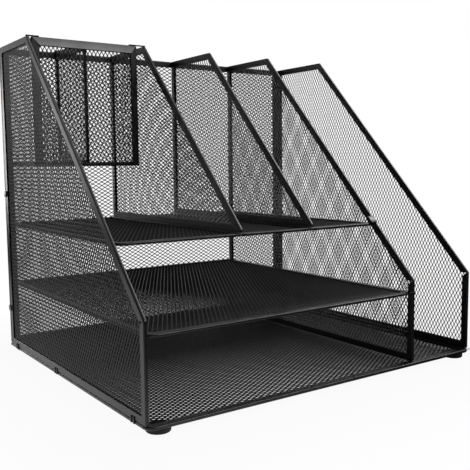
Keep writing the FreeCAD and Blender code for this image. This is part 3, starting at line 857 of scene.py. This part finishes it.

# %% [markdown]
# The ground is white with a faint shadow close to the base, and dark under it. So the floor gives the camera
# its own white, but under the object it is grey floor in the shade, darker than that white, which deepens the
# shade: partly painted shade, and just beside it a share of that. Under the front edge, most at the left, the
# floor glows white for a short way in, a painted light that shows as light dashes through the base's mesh; at
# the right and at the back the grey floor in the shade reaches beyond the base, a painted shade. In a studio
# the white sweep lies under and behind the object, and the room in front is dark, so that is what reflections
# see. Soft lamps light the object: a key from the front, one overhead and fills at the sides.

# %% Floor and surroundings
FLOOR_SIDE = 8.0
# Grey of the floor where its shading shows, darker than the white around it: it deepens the shade under and
# beside the base, a painted shade.
FLOOR_SHADE_GREY = (0.45, 0.45, 0.45, 1)
FLOOR_ROUGHNESS = 0.9
SHADOW_SHARE = 0.06
SHADOW_REACH = 0.20
SHADE_DRAWN_IN = 0.016
SHADE_BEYOND = 0.024
SHADE_BLEND = 0.004
# The LEAK values place painted light: white that the floor gives under the base's front edge, fading inwards
# and dimmer at the right.
PAINTED_LEAK_SHARE = 0.94
LEAK_REACH = 0.190
LEAK_LEFT = -0.03
LEAK_RIGHT = 0.10
LEAK_RIGHT_SHARE = 0.2
SWEEP_LIGHT = 0.85
SWEEP_HEADING = (-0.57, 0.82, 0)
SWEEP_EDGE = -0.20
SWEEP_WHOLE = -0.05
SWEEP_NEAR = 0.25
SWEEP_FAR = 0.60
BACKDROP_LOW = math.radians(8)
BACKDROP_HIGH = math.radians(28)
BACKDROP_HEADING = (0.309, 0.951, 0)
BACKDROP_EDGE = math.radians(44)
BACKDROP_WHOLE = math.radians(35)
AMBIENT = 0.03
WHITE = (1, 1, 1, 1)


def ray_kinds(tree):
    """Camera rays, and rays that mirror or pass on what is around: 1 for such a ray, else 0."""
    path = add(tree, "ShaderNodeLightPath").outputs
    mirror_ray = combined(tree, "MAXIMUM", path["Is Glossy Ray"], path["Is Transmission Ray"])
    return path["Is Camera Ray"], mirror_ray


def beside_base(tree, place):
    """Distance outside the shaded rectangle, below 0 inside it: the larger of the two sides' overhangs. The
    rectangle is the base's, drawn in at the front and at the left, where the white floor shows a little way
    under the edge as painted light, and reaching beyond it at the right and at the back, where the grey floor
    shows instead of the white as painted shade."""
    overhangs = []
    for label, low, high in zip("XY", *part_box("base_frame")):
        start, end = low + SHADE_DRAWN_IN, high + SHADE_BEYOND
        shifted = combined(tree, "SUBTRACT", place.outputs[label], (start + end) / 2)
        reach = combined(tree, "ABSOLUTE", shifted, 0)
        overhangs.append(combined(tree, "SUBTRACT", reach, (end - start) / 2))
    return combined(tree, "MAXIMUM", *overhangs)


def make_floor():
    """Square floor under the feet: its own white for what sees it, but grey floor in the shade near the base,
    darker than that white, a painted shade, and a painted white glow under the base's front edge."""
    half = FLOOR_SIDE / 2
    mesh = bpy.data.meshes.new("floor")
    corners = [(-half, -half, 0), (half, -half, 0), (half, half, 0), (-half, half, 0)]
    mesh.from_pydata(corners, [], [(0, 1, 2, 3)])
    material = bpy.data.materials.new("floor_with_painted_light_and_shade")
    material.use_nodes = True
    tree = material.node_tree
    pale = tree.nodes["Principled BSDF"]
    pale.inputs["Base Color"].default_value = FLOOR_SHADE_GREY
    pale.inputs["Roughness"].default_value = FLOOR_ROUGHNESS
    place = add(tree, "ShaderNodeSeparateXYZ")
    inward = add(tree, "ShaderNodeVectorMath", {"operation": "DOT_PRODUCT"})
    inward.inputs[1].default_value = SWEEP_HEADING
    coordinates = add(tree, "ShaderNodeTexCoord").outputs["Object"]
    tree.links.new(coordinates, place.inputs["Vector"])
    tree.links.new(coordinates, inward.inputs[0])
    camera_ray, mirror_ray = ray_kinds(tree)
    outside = beside_base(tree, place)
    open_share = product(tree, ramp(tree, outside, -SHADE_BLEND, SHADE_BLEND, 0, 1),
                         ramp(tree, outside, 0, SHADOW_REACH, 1 - SHADOW_SHARE, 1))
    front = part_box("base_frame")[0][Y]
    # Painted light: the floor glows white under the base's front edge, fading inwards and towards the right.
    painted_light_share = product(tree, ramp(tree, place.outputs["Y"], front, front + LEAK_REACH, PAINTED_LEAK_SHARE, 0),
                         ramp(tree, place.outputs["X"], LEAK_LEFT, LEAK_RIGHT, 1, LEAK_RIGHT_SHARE))
    white_share = combined(tree, "MAXIMUM", open_share, painted_light_share)
    sweep = product(tree, ramp(tree, inward.outputs["Value"], SWEEP_EDGE, SWEEP_WHOLE, 0, SWEEP_LIGHT),
                    ramp(tree, outside, SWEEP_NEAR, SWEEP_FAR, 1, 0))
    white = add(tree, "ShaderNodeEmission", Color=WHITE)
    tree.links.new(combined(tree, "MAXIMUM", camera_ray, product(tree, mirror_ray, sweep)),
                   white.inputs["Strength"])
    mix = add(tree, "ShaderNodeMixShader")
    seen = combined(tree, "MAXIMUM", camera_ray, mirror_ray)
    tree.links.new(product(tree, white_share, seen), mix.inputs["Fac"])
    tree.links.new(pale.outputs["BSDF"], mix.inputs[1])
    tree.links.new(white.outputs["Emission"], mix.inputs[2])
    tree.links.new(mix.outputs["Shader"], tree.nodes["Material Output"].inputs["Surface"])
    mesh.materials.append(material)
    floor = bpy.data.objects.new("floor", mesh)
    scene.collection.objects.link(floor)


def make_surroundings():
    """White to the camera; in reflections white behind the object up to some height, and dim elsewhere."""
    world = bpy.data.worlds.new("studio")
    world.use_nodes = True
    tree = world.node_tree
    background = tree.nodes["Background"]
    background.inputs["Color"].default_value = WHITE
    heading = add(tree, "ShaderNodeTexCoord").outputs["Generated"]
    height = add(tree, "ShaderNodeSeparateXYZ")
    tree.links.new(heading, height.inputs["Vector"])
    inward = add(tree, "ShaderNodeVectorMath", {"operation": "DOT_PRODUCT"})
    inward.inputs[1].default_value = BACKDROP_HEADING
    tree.links.new(heading, inward.inputs[0])
    low = ramp(tree, height.outputs["Z"], math.sin(BACKDROP_LOW), math.sin(BACKDROP_HIGH), 1, 0)
    within = ramp(tree, inward.outputs["Value"], math.cos(BACKDROP_EDGE), math.cos(BACKDROP_WHOLE), 0, 1)
    backdrop = product(tree, low, within)
    camera_ray, mirror_ray = ray_kinds(tree)
    bright = combined(tree, "MAXIMUM", camera_ray, product(tree, mirror_ray, backdrop))
    tree.links.new(combined(tree, "MAXIMUM", bright, AMBIENT), background.inputs["Strength"])
    scene.world = world


make_floor()
make_surroundings()

# %% Lamps
OBJECT_MIDDLE = Vector((0, 0, 0.15))
LAMPS = {
    "front_key": ((0.60, -1.50, 1.26), 0.8, 15),
    "left_rear": ((-0.43, 1.76, 0.25), 0.4, 3),
    "left_side": ((-1.43, 1.20, 0.45), 0.6, 2.5),
    "over_right": ((1.45, -0.05, 1.5), 0.9, 18),
    "overhead": ((0.0, 0.2, 2.0), 1.0, 8),
}


def make_lamp(name, place, side, power):
    """Square lamp that faces the object's middle and isn't seen by the camera itself."""
    light = bpy.data.lights.new(name, "AREA")
    light.size = side
    light.energy = power
    lamp = bpy.data.objects.new(name, light)
    toward = Vector(place) - OBJECT_MIDDLE
    lamp.matrix_world = Matrix.Translation(place) @ toward.to_track_quat("Z", "Y").to_matrix().to_4x4()
    lamp.visible_camera = False
    scene.collection.objects.link(lamp)


for lamp_name, (place, side, power) in LAMPS.items():
    make_lamp(lamp_name, place, side, power)
scene.view_settings.view_transform = "Standard"
print("lamps", sorted(LAMPS))
